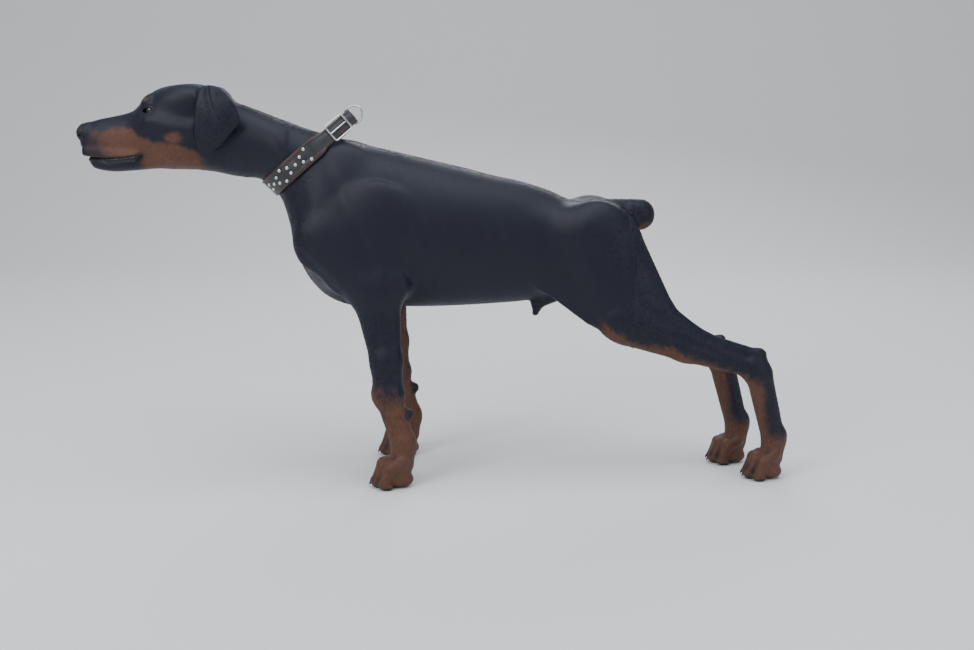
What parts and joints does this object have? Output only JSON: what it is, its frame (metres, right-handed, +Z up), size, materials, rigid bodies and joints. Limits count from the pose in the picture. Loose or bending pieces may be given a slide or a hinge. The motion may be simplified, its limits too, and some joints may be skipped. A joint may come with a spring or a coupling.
{
  "type": "standing young doberman pinscher with a studded collar",
  "caption": "Life-size still model of a young black and tan doberman, standing with its head stretched forward, in a studded leather collar.",
  "frame": {"origin": "on the floor, under the middle of the animal's bounding box", "axes": "+Z up, -X towards the nose, -Y towards the dog's left side"},
  "size_m": [1.2046, 0.2518, 0.6711],
  "materials": {
    "black_coat": "short, close, glossy black coat with a blue sky sheen",
    "tan_coat": "short rust tan coat with dark streaks on the toes",
    "nose_leather": "moist pebbled black nose leather",
    "eye": "glossy dark brown eye",
    "claw": "dark horn, slightly glossy",
    "collar_leather": "smooth black leather with red-brown edges",
    "collar_metal": "polished nickel-plated metal"
  },
  "bodies": {
    "root": {"head": "black_coat", "nose": "nose_leather", "neck": "black_coat", "torso": "black_coat", "prepuce": "black_coat", "tail": "black_coat", "foreleg_left": "black_coat", "forepaw_left": "tan_coat", "thigh_left": "black_coat", "shank_left": "black_coat", "metatarsus_left": "tan_coat", "hindpaw_left": "tan_coat", "ear_left": "black_coat", "eye_left": "eye", "claw_fore_left_1": "claw", "claw_fore_left_2": "claw", "claw_fore_left_3": "claw", "claw_fore_left_4": "claw", "claw_hind_left_1": "claw", "claw_hind_left_2": "claw", "claw_hind_left_3": "claw", "claw_hind_left_4": "claw", "foreleg_right": "black_coat", "forepaw_right": "tan_coat", "thigh_right": "black_coat", "shank_right": "black_coat", "metatarsus_right": "tan_coat", "hindpaw_right": "tan_coat", "ear_right": "black_coat", "eye_right": "eye", "claw_fore_right_1": "claw", "claw_fore_right_2": "claw", "claw_fore_right_3": "claw", "claw_fore_right_4": "claw", "claw_hind_right_1": "claw", "claw_hind_right_2": "claw", "claw_hind_right_3": "claw", "claw_hind_right_4": "claw", "collar_strap": "collar_leather", "collar_d_ring": "collar_metal", "collar_buckle": "collar_metal"}
  },
  "joints": []
}
